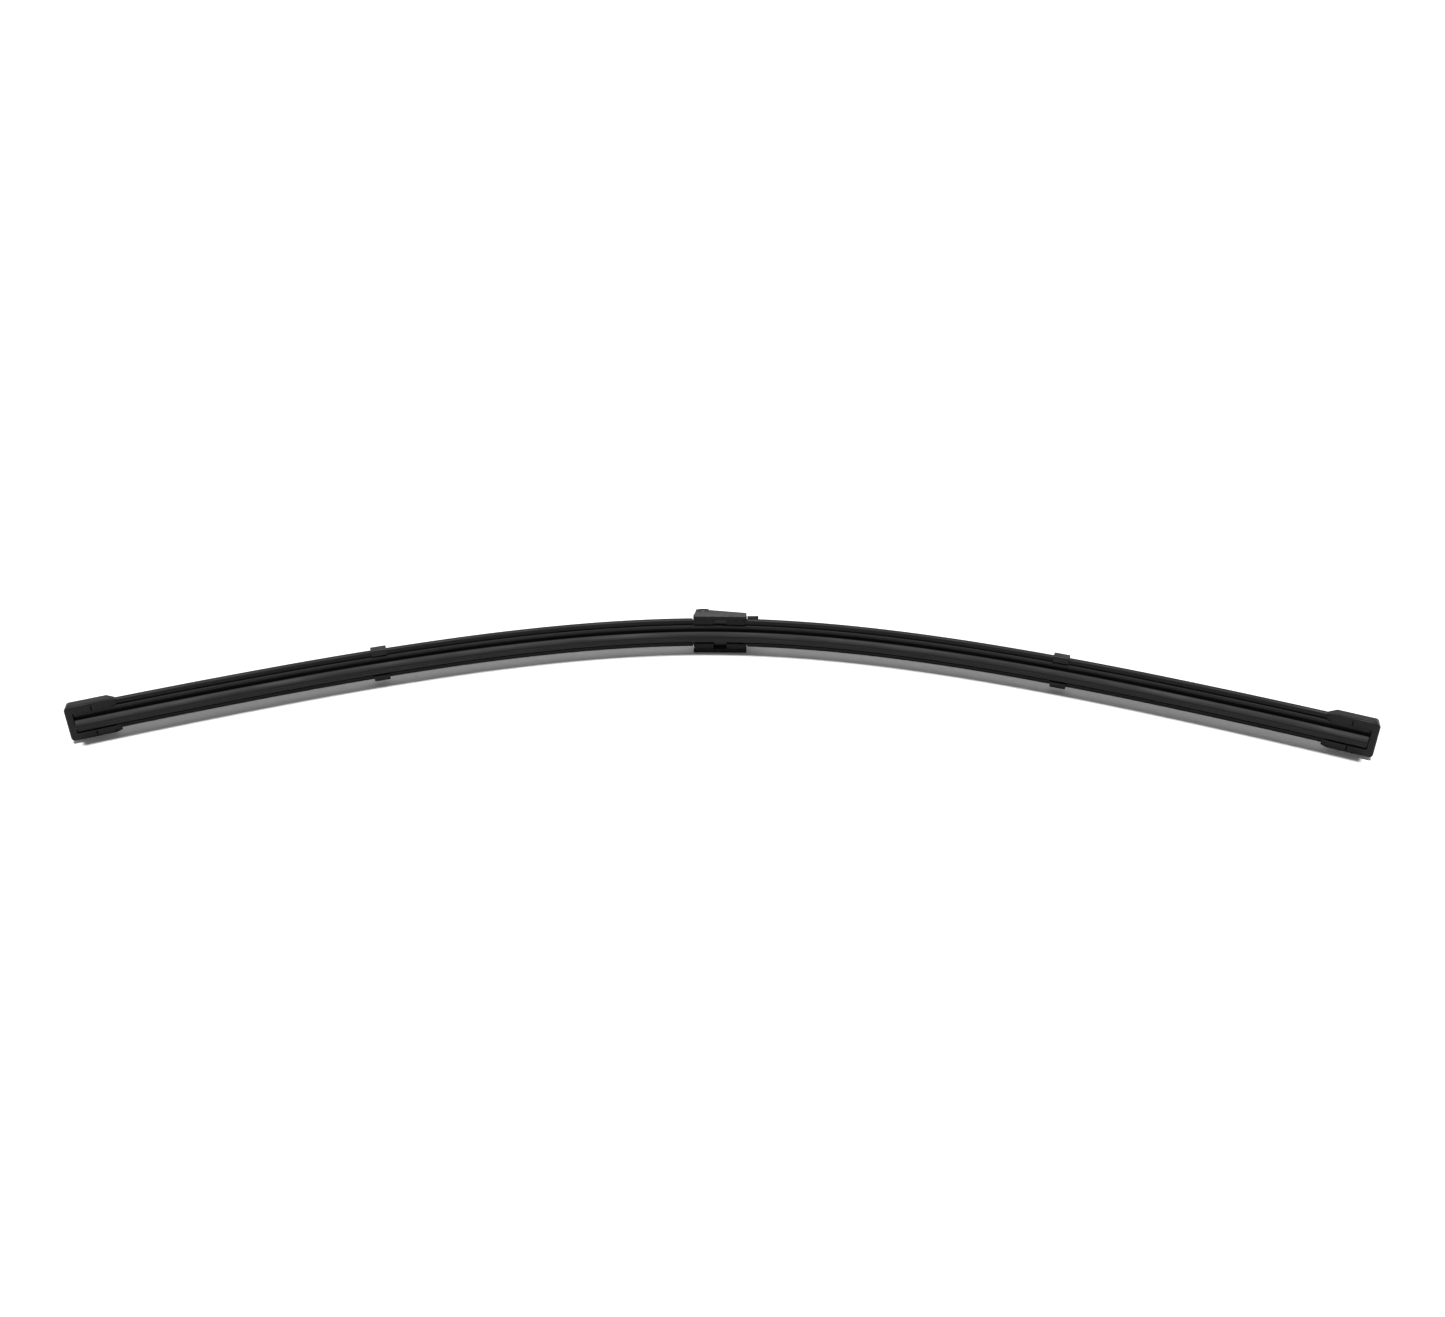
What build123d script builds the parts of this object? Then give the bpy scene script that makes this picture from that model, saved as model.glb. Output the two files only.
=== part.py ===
from build123d import *
import math
import os

# Flat windshield wiper blade, lying on its side. Millimetres.
# X runs along the blade, +Y points away from the glass (spoiler and adapter side),
# -Y points to the glass (rubber lip side), and Z is across the blade.
# Sections are drawn as (v, d): v is the place across the blade, measured from its
# centre line, and d is the height above the rails' glass-side face.

# Blade line: a bow whose curvature falls from the middle to the ends
HALF_LENGTH = 300.0      # half of the 600 mm blade, measured along the bow
R_MIDDLE = 275.0         # radius of the bow at the bracket
R_END = 1900.0           # radius of the bow at the end caps
ARC_BREAKS = [0.0, 30.0, 75.0, 130.0, 205.0, 300.0]
APEX_Y = 41.557          # puts the origin under the middle of the bounding box
HALF_HEIGHT = 10.0       # centre line above the surface the bracket lies on

FIT = 0.05               # gap between pieces of the blade that slide together
LOOSE = 0.1              # gap where pieces only pass each other
PAST = 20.0              # how far a cutting solid runs past the piece

# Spring rails
RAIL_THICK = 0.9
RAIL_IN = 1.35
RAIL_OUT = 7.0
RAIL_END = 295.0

# Rubber
WEB_HALF = 1.3
HEAD_HALF = 3.8
HEAD_TOP = 1.75
FLANGE_HALF = 4.6
FLANGE_FACE = -1.6
FLANGE_THIN = -0.45
BEAD_IN = 3.1
NECK_HALF = 0.45
SHOULDER_HALF = 1.85
SHOULDER_TOP = -2.6
SHOULDER_LOW = -3.1
FLANK_IN = 0.8           # the shoulder's flank narrows by this much
FLANK_DROP = 1.2         # over this height
LIP_HALF = 0.35
LIP_SPREAD = 0.2         # the lip is this much wider at its root
LIP_LENGTH = 1.8
LIP_TIP = -7.2
RUBBER_GAP = 0.3         # from the rubber's end to the end of the cap's slot

# Spoiler: a hard base that wraps the rails, and a soft fin on it
NOSE_R = 1.5
NOSE_V = 6.1
NOSE_D = 0.4
NOSE_FLAT = 0.9          # level top of the rounded edge, before the slope to the fin
BASE_HALF = NOSE_V + NOSE_R
BASE_FACE = NOSE_D - NOSE_R
CLAW_IN = 5.2
BASE_TOP = 2.85
BASE_START = 13.4
BLADE_END = 290.5
CLIP_ROOM = 0.2          # room at each side of a clip in the base's notch
FIN_HALF = 4.1
FIN_TOP = 9.0
FIN_V = 0.6
FIN_TIP_R = 0.65
FIN_WAIST_D = 5.1        # the two hollow flanks pass through these points
FIN_WAIST_RIGHT = 0.75
FIN_WAIST_LEFT = 1.05
FIN_START = 20.6
FIN_RAMP = 3.5

# Clips round the base, half way along each side
CLIP_S = 164.3
CLIP_LENGTH = 7.2
CLIP_SHEET = 0.75
CLIP_TOP = 2.7
CLIP_ROUND = 0.9         # outer radius of the clip's four bends

# Staples that join the rails inside the caps
STAPLE_S = 291.2
STAPLE_LENGTH = 3.2
STAPLE_SHEET = 0.45

# End caps
CAP_START = 279.7
CAP_END = 300.7          # where the leaning end crosses the rails' glass-side face
CAP_LEAN = 11.5          # the end leans back by this many degrees
CAP_LENGTH = CAP_END - CAP_START
CAP_HALF = 8.7
CAP_FACE = -2.3
CAP_SIDE = 2.2
CAP_TOP = 10.3
CAP_WALL_END = 4.6
CAP_ROOM_S = HALF_LENGTH - CAP_WALL_END
CAP_SHOULDER = 3.8
CAP_SHOULDER_IN = 0.8
CAP_MOUTH = [(4.6, 11.3), (3.2, 2.3), (0.0, 0.4), (0.0, -1.5), (3.0, CAP_FACE)]  # (set back, d)
CAP_SOFT = 1.0           # radius along the edges of the glass side
CAP_TIP_R = 1.5
CAP_BROW = [(0.5, 1.0), (1.5, 1.7)]   # inwards and up from the top of the upright side
CAP_WAIST_D = 6.5
CAP_WAIST_RIGHT = 1.9
CAP_WAIST_LEFT = 2.2
CAP_CORNER = 3.0
CAP_SLOT = 4.95          # half width of the slot for the rubber
CAP_SLOT_WALL = 2.1      # the slot runs on past the room, to this far from HALF_LENGTH
CAP_SLOT_TOP = 2.0
CAP_SLOT_S = HALF_LENGTH - CAP_SLOT_WALL
CAP_ROOM_HALF = 7.75
CAP_ROOM_FACE = -1.25
CAP_ROOM_TOP = 2.4
CAP_FIN_ROOM = 1.0       # half width of the fin's room at its top
CAP_FALL = 10.3          # length over which the crest falls to the cap's end
CAP_END_TOP = 6.6
CAP_BEND = (0.48, 1.0)   # bend of the crest: part of its fall, and drop below the top
CAP_ROUND = 1.1
SNAP_S = 289.8           # slits beside the two snap tongues on the glass side
SNAP_WIDTH = 0.5
SNAP_OUT = 7.4

# Centre bracket
SHEET = 1.9
BRACKET_HALF = 13.0
BRACKET_FACE = -2.4
CHEEK_HIGH = 6.0
CHEEK_LOW = 2.2
CHEEK_LEAN = 1.2
LAP = 0.5                # how far the seats and claws run into the cheeks
SEAT_IN = 5.6
SEAT_TOP = 2.3
GRIP_IN = 5.3
GRIP_FROM = 3.2
GRIP_TO = 12.4
GRIP_FACE = -1.9
BRIDGE = 2.2
BRIDGE_LOW = 1.9
BRIDGE_TOP = 3.2

# Pivot
PIVOT_X = -8.3
PIVOT_D = 4.2
PIN_R = 1.2
PIN_RUN = 0.05
BUSH_WIDTH = 5.8
BUSH_LOW = 2.6
BUSH_TOP = 6.1
BUSH_IN = 5.5
COLLAR_R = 1.9
BUSH_ROUND = 1.2
PIN_SHORT = 0.3          # the pin stops this far inside each bush's outer face

# Adapter
ADAPTER_HALF = 5.2
ADAPTER_LEFT = -12.2
ADAPTER_RIGHT = 12.4
ADAPTER_TOP = 12.4
ADAPTER_TOP_RIGHT = 9.6
ADAPTER_TOP_BEND = 2.0   # x where the level top starts to slope
ADAPTER_LOW = [(ADAPTER_LEFT, 5.2), (-10.2, 4.6), (-6.4, 4.0), (ADAPTER_RIGHT, 6.0)]
HUB_R = 2.1
SOCKET_HALF = 4.1
SOCKET_LOW = 6.1
SOCKET_TOP = 11.0
SOCKET_END = 3.0
SOCKET_WALL = 1.2        # between the socket and the fork that holds the latch
ADAPTER_ROUND = 0.5

# Release latch
LATCH_X = 6.4
LATCH_D = 8.3
LATCH_PIN_R = 0.9
LATCH_HUB_R = 1.7
LATCH_HALF = 2.6
LATCH_GAP = 0.35
LATCH_BAR_LOW = 11.35
LATCH_BAR_END = 4.7
PEG_ROOM = 0.6
PEG_LOW = 10.3
PEG_LEFT = -2.6
PEG_LENGTH = 2.4
ARM_LOW = [(-1.2, 0.0), (1.6, -0.8)]  # underside of the latch's arm, from its pin
ARM_TOP = (2.0, 1.9)     # bend of its top side, from its pin
BAR_TOP_LEFT = 0.4       # the bar's top starts to fall this far before the adapter's does
TAB_LEFT = 13.3
TAB_RIGHT = 18.8
TAB_HALF = 4.6
TAB_LOW = 7.5
TAB_TOP = 9.3
TAB_CURL = 0.5           # the tab's free end is this much higher
TAB_TOE = (1.0, 0.2)     # the curl starts this far before the end, this much higher
TAB_RIBS = 3
TAB_PITCH = 1.3
FIRST_RIB = 0.9          # place of the first rib, in pitches from the tab's start
RIB_R = 0.32
RIB_SHORT = 0.6          # the ribs stop this far inside the tab's sides


def curvature(s):
    """Curvature of the bow at s from the middle."""
    left = 1 - abs(s) / HALF_LENGTH
    return 1 / R_END + (1 / R_MIDDLE - 1 / R_END) * left * left


def bow_state(s):
    """Point and heading of the bow at s, with the middle at x = 0."""
    x, y, heading = 0.0, APEX_Y, 0.0
    for start, end in zip(ARC_BREAKS, ARC_BREAKS[1:]):
        step = min(abs(s), end) - start
        if step <= 0:
            break
        bend = curvature((start + end) / 2)
        x += (math.sin(heading + bend * step) - math.sin(heading)) / bend
        y += (math.cos(heading + bend * step) - math.cos(heading)) / bend
        heading += bend * step
    side = 1 if s >= 0 else -1
    return side * x, y, -side * heading


def bow_point(s):
    x, y, _ = bow_state(s)
    return Vector(x, y, HALF_HEIGHT)


def bow_along(s):
    """Direction of the bow at s."""
    heading = bow_state(s)[2]
    return Vector(math.cos(heading), math.sin(heading), 0)


def section_plane(s):
    """Plane across the bow at s: local x is v, local y is d, extrude() goes to -s."""
    return Plane(origin=bow_point(s), x_dir=(0, 0, 1), z_dir=-bow_along(s))


def bow_path(s0, s1):
    """The stretch of the bow from s0 to s1, as tangent arcs."""
    breaks = [-b for b in reversed(ARC_BREAKS[1:])] + ARC_BREAKS[1:]
    stops = [s0] + [b for b in breaks if s0 < b < s1] + [s1]
    arcs = []
    for a, b in zip(stops, stops[1:]):
        arcs.append(ThreePointArc(bow_point(a), bow_point((a + b) / 2), bow_point(b)))
    return Wire(arcs)


def follow(section, s0, s1):
    """Sweep a (v, d) section along the bow."""
    path = bow_path(s0, s1)
    return sweep(section_plane(s0) * section, path=path)


def stretch(section, s0, s1):
    """Extrude a (v, d) section straight from s0 to s1, at the heading half way."""
    middle = (s0 + s1) / 2
    return extrude(section_plane(middle) * section, amount=(s1 - s0) / 2, both=True)


def box_vd(v0, v1, d0, d1):
    """A rectangle in the (v, d) section."""
    return Pos((v0 + v1) / 2, (d0 + d1) / 2) * Rectangle(v1 - v0, d1 - d0)


def both_sides(section):
    return section + mirror(section, about=Plane.YZ)


def corner_arc(before, corner, after, radius):
    """Arc that rounds the corner between two straight runs."""
    tip = Vector(*corner)
    back = (Vector(*before) - tip).normalized()
    on = (Vector(*after) - tip).normalized()
    half_angle = math.radians(back.get_angle(on)) / 2
    cut = radius / math.tan(half_angle)
    inwards = (back + on).normalized()
    middle = tip + inwards * (radius / math.sin(half_angle) - radius)
    return ThreePointArc(tip + back * cut, middle, tip + on * cut)


def side_view(points, v0, v1):
    """Extrude an outline of (x, d) points across the middle of the blade, from v0 to v1."""
    face = Plane.XY * Polygon(*points, align=None)
    return Pos(0, APEX_Y, HALF_HEIGHT + v0) * extrude(face, amount=v1 - v0)


def block(x0, x1, d0, d1, v0, v1):
    """A block at the middle of the blade."""
    return side_view([(x0, d0), (x1, d0), (x1, d1), (x0, d1)], v0, v1)


def cross_rod(x, d, radius, v0, v1):
    """A round rod across the middle of the blade."""
    return Pos(x, APEX_Y + d, HALF_HEIGHT + v0) * extrude(Circle(radius), amount=v1 - v0)


def make_rubber():
    """Head with a groove for each rail, flange with two beads, neck and wiping lip."""
    half = [
        (0, HEAD_TOP), (HEAD_HALF, HEAD_TOP), (HEAD_HALF, RAIL_THICK + FIT),
        (WEB_HALF, RAIL_THICK + FIT), (WEB_HALF, -FIT), (FLANGE_HALF, -FIT),
        (FLANGE_HALF, FLANGE_FACE), (BEAD_IN, FLANGE_FACE), (BEAD_IN, FLANGE_THIN),
        (NECK_HALF, FLANGE_THIN), (NECK_HALF, SHOULDER_TOP), (SHOULDER_HALF, SHOULDER_TOP),
        (SHOULDER_HALF, SHOULDER_LOW), (SHOULDER_HALF - FLANK_IN, SHOULDER_LOW - FLANK_DROP),
        (LIP_HALF + LIP_SPREAD, LIP_TIP + LIP_LENGTH), (LIP_HALF, LIP_TIP),
    ]
    other = [(-v, d) for v, d in reversed(half[1:])]
    end = CAP_SLOT_S - RUBBER_GAP
    return follow(Polygon(*half, *other, align=None), -end, end)


def make_rail(side):
    section = box_vd(RAIL_IN, RAIL_OUT, 0, RAIL_THICK)
    if side < 0:
        section = mirror(section, about=Plane.YZ)
    return follow(section, -RAIL_END, RAIL_END)


def nose_half():
    """Rounded edge of the spoiler base, with its claw under the rail."""
    room = RAIL_OUT + FIT
    head = HEAD_HALF + LOOSE
    return make_face([
        Polyline((FIN_HALF, BASE_TOP), (NOSE_V - NOSE_FLAT, NOSE_D + NOSE_R + LOOSE),
                 (NOSE_V, NOSE_D + NOSE_R)),
        ThreePointArc((NOSE_V, NOSE_D + NOSE_R), (BASE_HALF, NOSE_D), (NOSE_V, BASE_FACE)),
        Polyline((NOSE_V, BASE_FACE), (CLAW_IN, BASE_FACE), (CLAW_IN, -FIT), (room, -FIT),
                 (room, RAIL_THICK + FIT), (head, RAIL_THICK + FIT), (head, BASE_TOP),
                 (FIN_HALF, BASE_TOP)),
    ])


def make_spoiler_base():
    """Base that wraps both rails and leaves a notch for the clip's strap."""
    head = HEAD_HALF + LOOSE
    roof = box_vd(-head, head, HEAD_TOP + LOOSE, BASE_TOP)
    base = follow(both_sides(nose_half()) + roof, BASE_START, BLADE_END)
    reach = CLIP_LENGTH / 2 + CLIP_ROOM
    notch = box_vd(-BASE_HALF, BASE_HALF, HEAD_TOP + LOOSE, BASE_TOP + 1)
    return base - stretch(notch, CLIP_S - reach, CLIP_S + reach)


def fin_section():
    """Tall fin with two hollow flanks and a rounded tip that leans a little to +v."""
    tip = FIN_TOP - FIN_TIP_R
    right = FIN_V + FIN_TIP_R
    left = FIN_V - FIN_TIP_R
    return make_face([
        Line((-FIN_HALF, BASE_TOP), (FIN_HALF, BASE_TOP)),
        ThreePointArc((FIN_HALF, BASE_TOP), (right + FIN_WAIST_RIGHT, FIN_WAIST_D), (right, tip)),
        ThreePointArc((right, tip), (FIN_V, FIN_TOP), (left, tip)),
        ThreePointArc((left, tip), (left - FIN_WAIST_LEFT, FIN_WAIST_D), (-FIN_HALF, BASE_TOP)),
    ])


def make_spoiler_fin():
    """The fin starts beyond the bracket with a sloping end."""
    fin = follow(fin_section(), FIN_START, BLADE_END)
    x, y, _ = bow_state(FIN_START)
    wedge = Polygon((x - 2, y + BASE_TOP - 2), (x - 2, y + FIN_TOP + 2),
                    (x + FIN_RAMP + 1, y + FIN_TOP + 2), (x, y + BASE_TOP), align=None)
    return fin - extrude(wedge, amount=2 * HALF_HEIGHT)


def make_clip():
    """Folded sheet clip: strap under the fin, upright sides and claws on the glass side."""
    room = BASE_HALF + FIT
    side = room + CLIP_SHEET
    face = BASE_FACE - FIT - CLIP_SHEET
    outside = box_vd(-side, side, face, CLIP_TOP)
    outside = fillet(outside.vertices(), radius=CLIP_ROUND)
    inside = box_vd(-room, room, face + CLIP_SHEET, CLIP_TOP - CLIP_SHEET)
    inside = fillet(inside.vertices(), radius=CLIP_ROUND - CLIP_SHEET)
    claw = CLAW_IN + LOOSE
    mouth = box_vd(-claw, claw, 2 * face, 0)
    return stretch(outside - inside - mouth, CLIP_S - CLIP_LENGTH / 2, CLIP_S + CLIP_LENGTH / 2)


def make_staple():
    """Sheet staple that ties the two rails together inside the cap."""
    room = RAIL_OUT + LOOSE
    strap_low = HEAD_TOP + LOOSE
    outside = box_vd(-room - STAPLE_SHEET, room + STAPLE_SHEET, -FIT - STAPLE_SHEET,
                     strap_low + STAPLE_SHEET)
    inside = box_vd(-room, room, -FIT, strap_low)
    mouth = box_vd(-CLAW_IN, CLAW_IN, -2, 0)
    return stretch(outside - inside - mouth, STAPLE_S, STAPLE_S + STAPLE_LENGTH)


def cap_outline():
    """Outside of the cap: flat glass side, upright sides and two hollow flanks."""
    tip = CAP_TOP - CAP_TIP_R
    right, left = FIN_V + CAP_TIP_R, FIN_V - CAP_TIP_R
    low, high = CAP_FACE, CAP_SIDE
    edge, foot = CAP_HALF, CAP_HALF - CAP_SOFT
    mid, brow = [(CAP_HALF - inwards, CAP_SIDE + up) for inwards, up in CAP_BROW]
    return make_face([
        Line((-foot, low), (foot, low)),
        RadiusArc((foot, low), (edge, low + CAP_SOFT), -CAP_SOFT),
        Line((edge, low + CAP_SOFT), (edge, high)),
        ThreePointArc((edge, high), mid, brow),
        ThreePointArc(brow, (right + CAP_WAIST_RIGHT, CAP_WAIST_D), (right, tip)),
        ThreePointArc((right, tip), (FIN_V, CAP_TOP), (left, tip)),
        ThreePointArc((left, tip), (left - CAP_WAIST_LEFT, CAP_WAIST_D), (-brow[0], brow[1])),
        ThreePointArc((-brow[0], brow[1]), (-mid[0], mid[1]), (-edge, high)),
        Line((-edge, high), (-edge, low + CAP_SOFT)),
        RadiusArc((-edge, low + CAP_SOFT), (-foot, low), -CAP_SOFT),
    ])


def cap_middle():
    """Point and direction of the bow at the cap's middle."""
    middle = (CAP_START + CAP_END) / 2
    return bow_point(middle), bow_along(middle)


def cap_plan():
    """Plan of the cap: sloping shoulders at its mouth and round corners at its end."""
    half = CAP_LENGTH / 2
    neck = CAP_HALF - CAP_SHOULDER_IN
    corner = CAP_CORNER
    flat = CAP_HALF - corner
    outline = make_face([
        Polyline((-half, -neck), (-half, neck), (-half + CAP_SHOULDER, CAP_HALF),
                 (half - corner, CAP_HALF)),
        RadiusArc((half - corner, CAP_HALF), (half, flat), corner),
        Line((half, flat), (half, -flat)),
        RadiusArc((half, -flat), (half - corner, -CAP_HALF), corner),
        Polyline((half - corner, -CAP_HALF), (-half + CAP_SHOULDER, -CAP_HALF), (-half, -neck)),
    ])
    origin, along = cap_middle()
    leaning = along.rotate(Axis.Z, CAP_LEAN)
    plane = Plane(origin=origin, x_dir=leaning, z_dir=(-leaning.Y, leaning.X, 0))
    return extrude(plane * outline, amount=PAST, both=True)


def cap_side():
    """Side outline of the cap: sloping mouth, crest that falls in a curve, leaning end."""
    half = CAP_LENGTH / 2
    low = 2 * CAP_FACE
    mouth = [(back - half, d) for back, d in CAP_MOUTH]
    lean = math.tan(math.radians(CAP_LEAN))
    foot = (half - CAP_FACE * lean, CAP_FACE)
    crown = (half - CAP_END_TOP * lean, CAP_END_TOP)
    heel = corner_arc((0, CAP_FACE), foot, crown, CAP_ROUND)
    brow = corner_arc(foot, crown, (0, CAP_END_TOP), CAP_ROUND)
    fall = half - CAP_FALL
    bend = (half - CAP_FALL * CAP_BEND[0], CAP_TOP - CAP_BEND[1])
    under = heel @ 0
    crest_end = brow @ 1
    outline = make_face([
        heel, Line(heel @ 1, brow @ 0), brow, ThreePointArc(crest_end, bend, (fall, CAP_TOP)),
        Polyline((fall, CAP_TOP), (fall, mouth[0][1]), *mouth, (mouth[-1][0], low),
                 (under.X, low), (under.X, under.Y)),
    ])
    origin, along = cap_middle()
    return extrude(Plane(origin=origin, x_dir=along, z_dir=(0, 0, 1)) * outline, amount=PAST,
                   both=True)


def make_cap():
    """Moulded cap with a room for the blade's end and a slot for the rubber."""
    reach = CAP_END - 2 * CAP_FACE * math.tan(math.radians(CAP_LEAN))
    cap = stretch(cap_outline(), CAP_START, reach) & cap_plan() & cap_side()
    room = box_vd(-CAP_ROOM_HALF, CAP_ROOM_HALF, CAP_ROOM_FACE, CAP_ROOM_TOP)
    fin_high = FIN_TOP + 2 * LOOSE
    fin_room = Polygon((-CAP_SLOT, CAP_ROOM_TOP), (CAP_SLOT, CAP_ROOM_TOP),
                       (FIN_V + CAP_FIN_ROOM, fin_high), (FIN_V - CAP_FIN_ROOM, fin_high),
                       align=None)
    cap -= stretch(room + fin_room, CAP_START - PAST, CAP_ROOM_S)
    slot = box_vd(-CAP_SLOT, CAP_SLOT, 2 * CAP_FACE, CAP_SLOT_TOP)
    cap -= stretch(slot, CAP_START - PAST, CAP_SLOT_S)
    slits = box_vd(-SNAP_OUT, SNAP_OUT, 2 * CAP_FACE, 0)
    return cap - stretch(slits, SNAP_S, SNAP_S + SNAP_WIDTH)


def make_bracket():
    """Pressed bracket: two leaning cheeks, rail seats, end bridges and four claws."""
    half = BRACKET_HALF
    cheek = [(-half, BRACKET_FACE), (half, BRACKET_FACE), (half, CHEEK_LOW),
             (-half + CHEEK_LEAN, CHEEK_HIGH)]
    inner = HALF_HEIGHT - SHEET
    body = side_view(cheek, inner, HALF_HEIGHT) + side_view(cheek, -HALF_HEIGHT, -inner)
    seat = box_vd(SEAT_IN, inner + LAP, RAIL_THICK + FIT, SEAT_TOP)
    body += follow(both_sides(seat), -half, half)
    grip = box_vd(GRIP_IN, inner + LAP, GRIP_FACE, -FIT)
    body += follow(both_sides(grip), GRIP_FROM, GRIP_TO)
    body += follow(both_sides(grip), -GRIP_TO, -GRIP_FROM)
    for x0 in (-half, half - BRIDGE):
        body += block(x0, x0 + BRIDGE, BRIDGE_LOW, BRIDGE_TOP, -inner - LAP, inner + LAP)
    notch = BUSH_WIDTH / 2 + FIT
    return body - block(PIVOT_X - notch, PIVOT_X + notch, BUSH_LOW - FIT, PAST, -PAST, PAST)


def make_bush(side):
    """Bearing block that fills a cheek's notch, with a collar towards the adapter."""
    v0, v1 = HALF_HEIGHT - SHEET, HALF_HEIGHT
    width = BUSH_WIDTH / 2
    body = block(PIVOT_X - width, PIVOT_X + width, BUSH_LOW, BUSH_TOP, v0, v1)
    uprights = body.edges().filter_by(Axis.Z).sort_by(Axis.Y)[-2:]
    body = fillet(uprights, radius=BUSH_ROUND)
    body += cross_rod(PIVOT_X, PIVOT_D, COLLAR_R, BUSH_IN, v0)
    body -= cross_rod(PIVOT_X, PIVOT_D, PIN_R, 0, PAST)
    if side < 0:
        body = mirror(body, about=Plane.XY.offset(HALF_HEIGHT))
    return body


def make_pivot_pin():
    reach = HALF_HEIGHT - PIN_SHORT
    return cross_rod(PIVOT_X, PIVOT_D, PIN_R, -reach, reach)


def make_adapter():
    """Adapter body: hub on the pivot pin, arm socket open to -x, fork for the latch."""
    outline = ADAPTER_LOW + [(ADAPTER_RIGHT, ADAPTER_TOP_RIGHT), (ADAPTER_TOP_BEND, ADAPTER_TOP),
                             (ADAPTER_LEFT, ADAPTER_TOP)]
    body = side_view(outline, -ADAPTER_HALF, ADAPTER_HALF)
    body += cross_rod(PIVOT_X, PIVOT_D, HUB_R, -ADAPTER_HALF, ADAPTER_HALF)
    body -= cross_rod(PIVOT_X, PIVOT_D, PIN_R + PIN_RUN, -PAST, PAST)
    body -= block(ADAPTER_LEFT - PAST, SOCKET_END, SOCKET_LOW, SOCKET_TOP, -SOCKET_HALF,
                  SOCKET_HALF)
    slot = LATCH_HALF + LATCH_GAP
    body -= block(PEG_LEFT - PEG_ROOM, PAST, SOCKET_TOP - LATCH_GAP, PAST, -slot, slot)
    body -= block(SOCKET_END + SOCKET_WALL, PAST, 0, PAST, -slot, slot)
    body -= cross_rod(LATCH_X, LATCH_D, LATCH_PIN_R, -PAST, PAST)
    corners = [e for e in body.edges().filter_by(Axis.Z) if e.length > 1.5 * ADAPTER_HALF]
    return fillet(corners, radius=ADAPTER_ROUND)


def from_pin(offset):
    """A point (x, d) given from the latch's pin."""
    return LATCH_X + offset[0], LATCH_D + offset[1]


def make_latch():
    """Rocking latch: peg over the socket at one end, ribbed thumb tab at the other."""
    peg_end = PEG_LEFT + PEG_LENGTH
    free_end = TAB_TOP + TAB_CURL
    bar = [(PEG_LEFT, PEG_LOW), (peg_end, PEG_LOW), (peg_end, LATCH_BAR_LOW),
           (LATCH_BAR_END, LATCH_BAR_LOW), from_pin(ARM_LOW[0]), from_pin(ARM_LOW[1]),
           (TAB_LEFT, TAB_LOW), (TAB_LEFT + TAB_CURL, TAB_TOP), from_pin(ARM_TOP),
           (ADAPTER_TOP_BEND - BAR_TOP_LEFT, ADAPTER_TOP), (PEG_LEFT, ADAPTER_TOP)]
    body = side_view(bar, -LATCH_HALF, LATCH_HALF)
    body += cross_rod(LATCH_X, LATCH_D, LATCH_HUB_R, -LATCH_HALF, LATCH_HALF)
    tab = [(TAB_LEFT, TAB_LOW), (TAB_RIGHT, TAB_LOW + TAB_CURL), (TAB_RIGHT, free_end),
           (TAB_RIGHT - TAB_TOE[0], TAB_TOP + TAB_TOE[1]), (TAB_LEFT, TAB_TOP)]
    body += side_view(tab, -TAB_HALF, TAB_HALF)
    rib_half = TAB_HALF - RIB_SHORT
    for rib in range(TAB_RIBS):
        x = TAB_LEFT + TAB_PITCH * (rib + FIRST_RIB)
        body += cross_rod(x, TAB_TOP + FIT, RIB_R, -rib_half, rib_half)
    return body - cross_rod(LATCH_X, LATCH_D, LATCH_PIN_R + PIN_RUN, -PAST, PAST)


def make_latch_pin():
    return cross_rod(LATCH_X, LATCH_D, LATCH_PIN_R, -ADAPTER_HALF, ADAPTER_HALF)


def save(name, shape):
    export_step(shape, f"parts/{name}.step")


def save_pair(name, right):
    """Write a right-hand piece and its mirror image at the left."""
    save(f"{name}_right", right)
    save(f"{name}_left", mirror(right, about=Plane.YZ))


os.makedirs("parts", exist_ok=True)
save("wiper_rubber", make_rubber())
save("rail_upper", make_rail(1))
save("rail_lower", make_rail(-1))
save_pair("spoiler_base", make_spoiler_base())
save_pair("spoiler_fin", make_spoiler_fin())
save_pair("rail_clip", make_clip())
save_pair("rail_staple", make_staple())
save_pair("end_cap", make_cap())
save("centre_bracket", make_bracket())
save("pivot_bush_upper", make_bush(1))
save("pivot_bush_lower", make_bush(-1))
save("pivot_pin", make_pivot_pin())
save("adapter_body", make_adapter())
save("release_latch", make_latch())
save("latch_pin", make_latch_pin())
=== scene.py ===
import math

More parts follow.
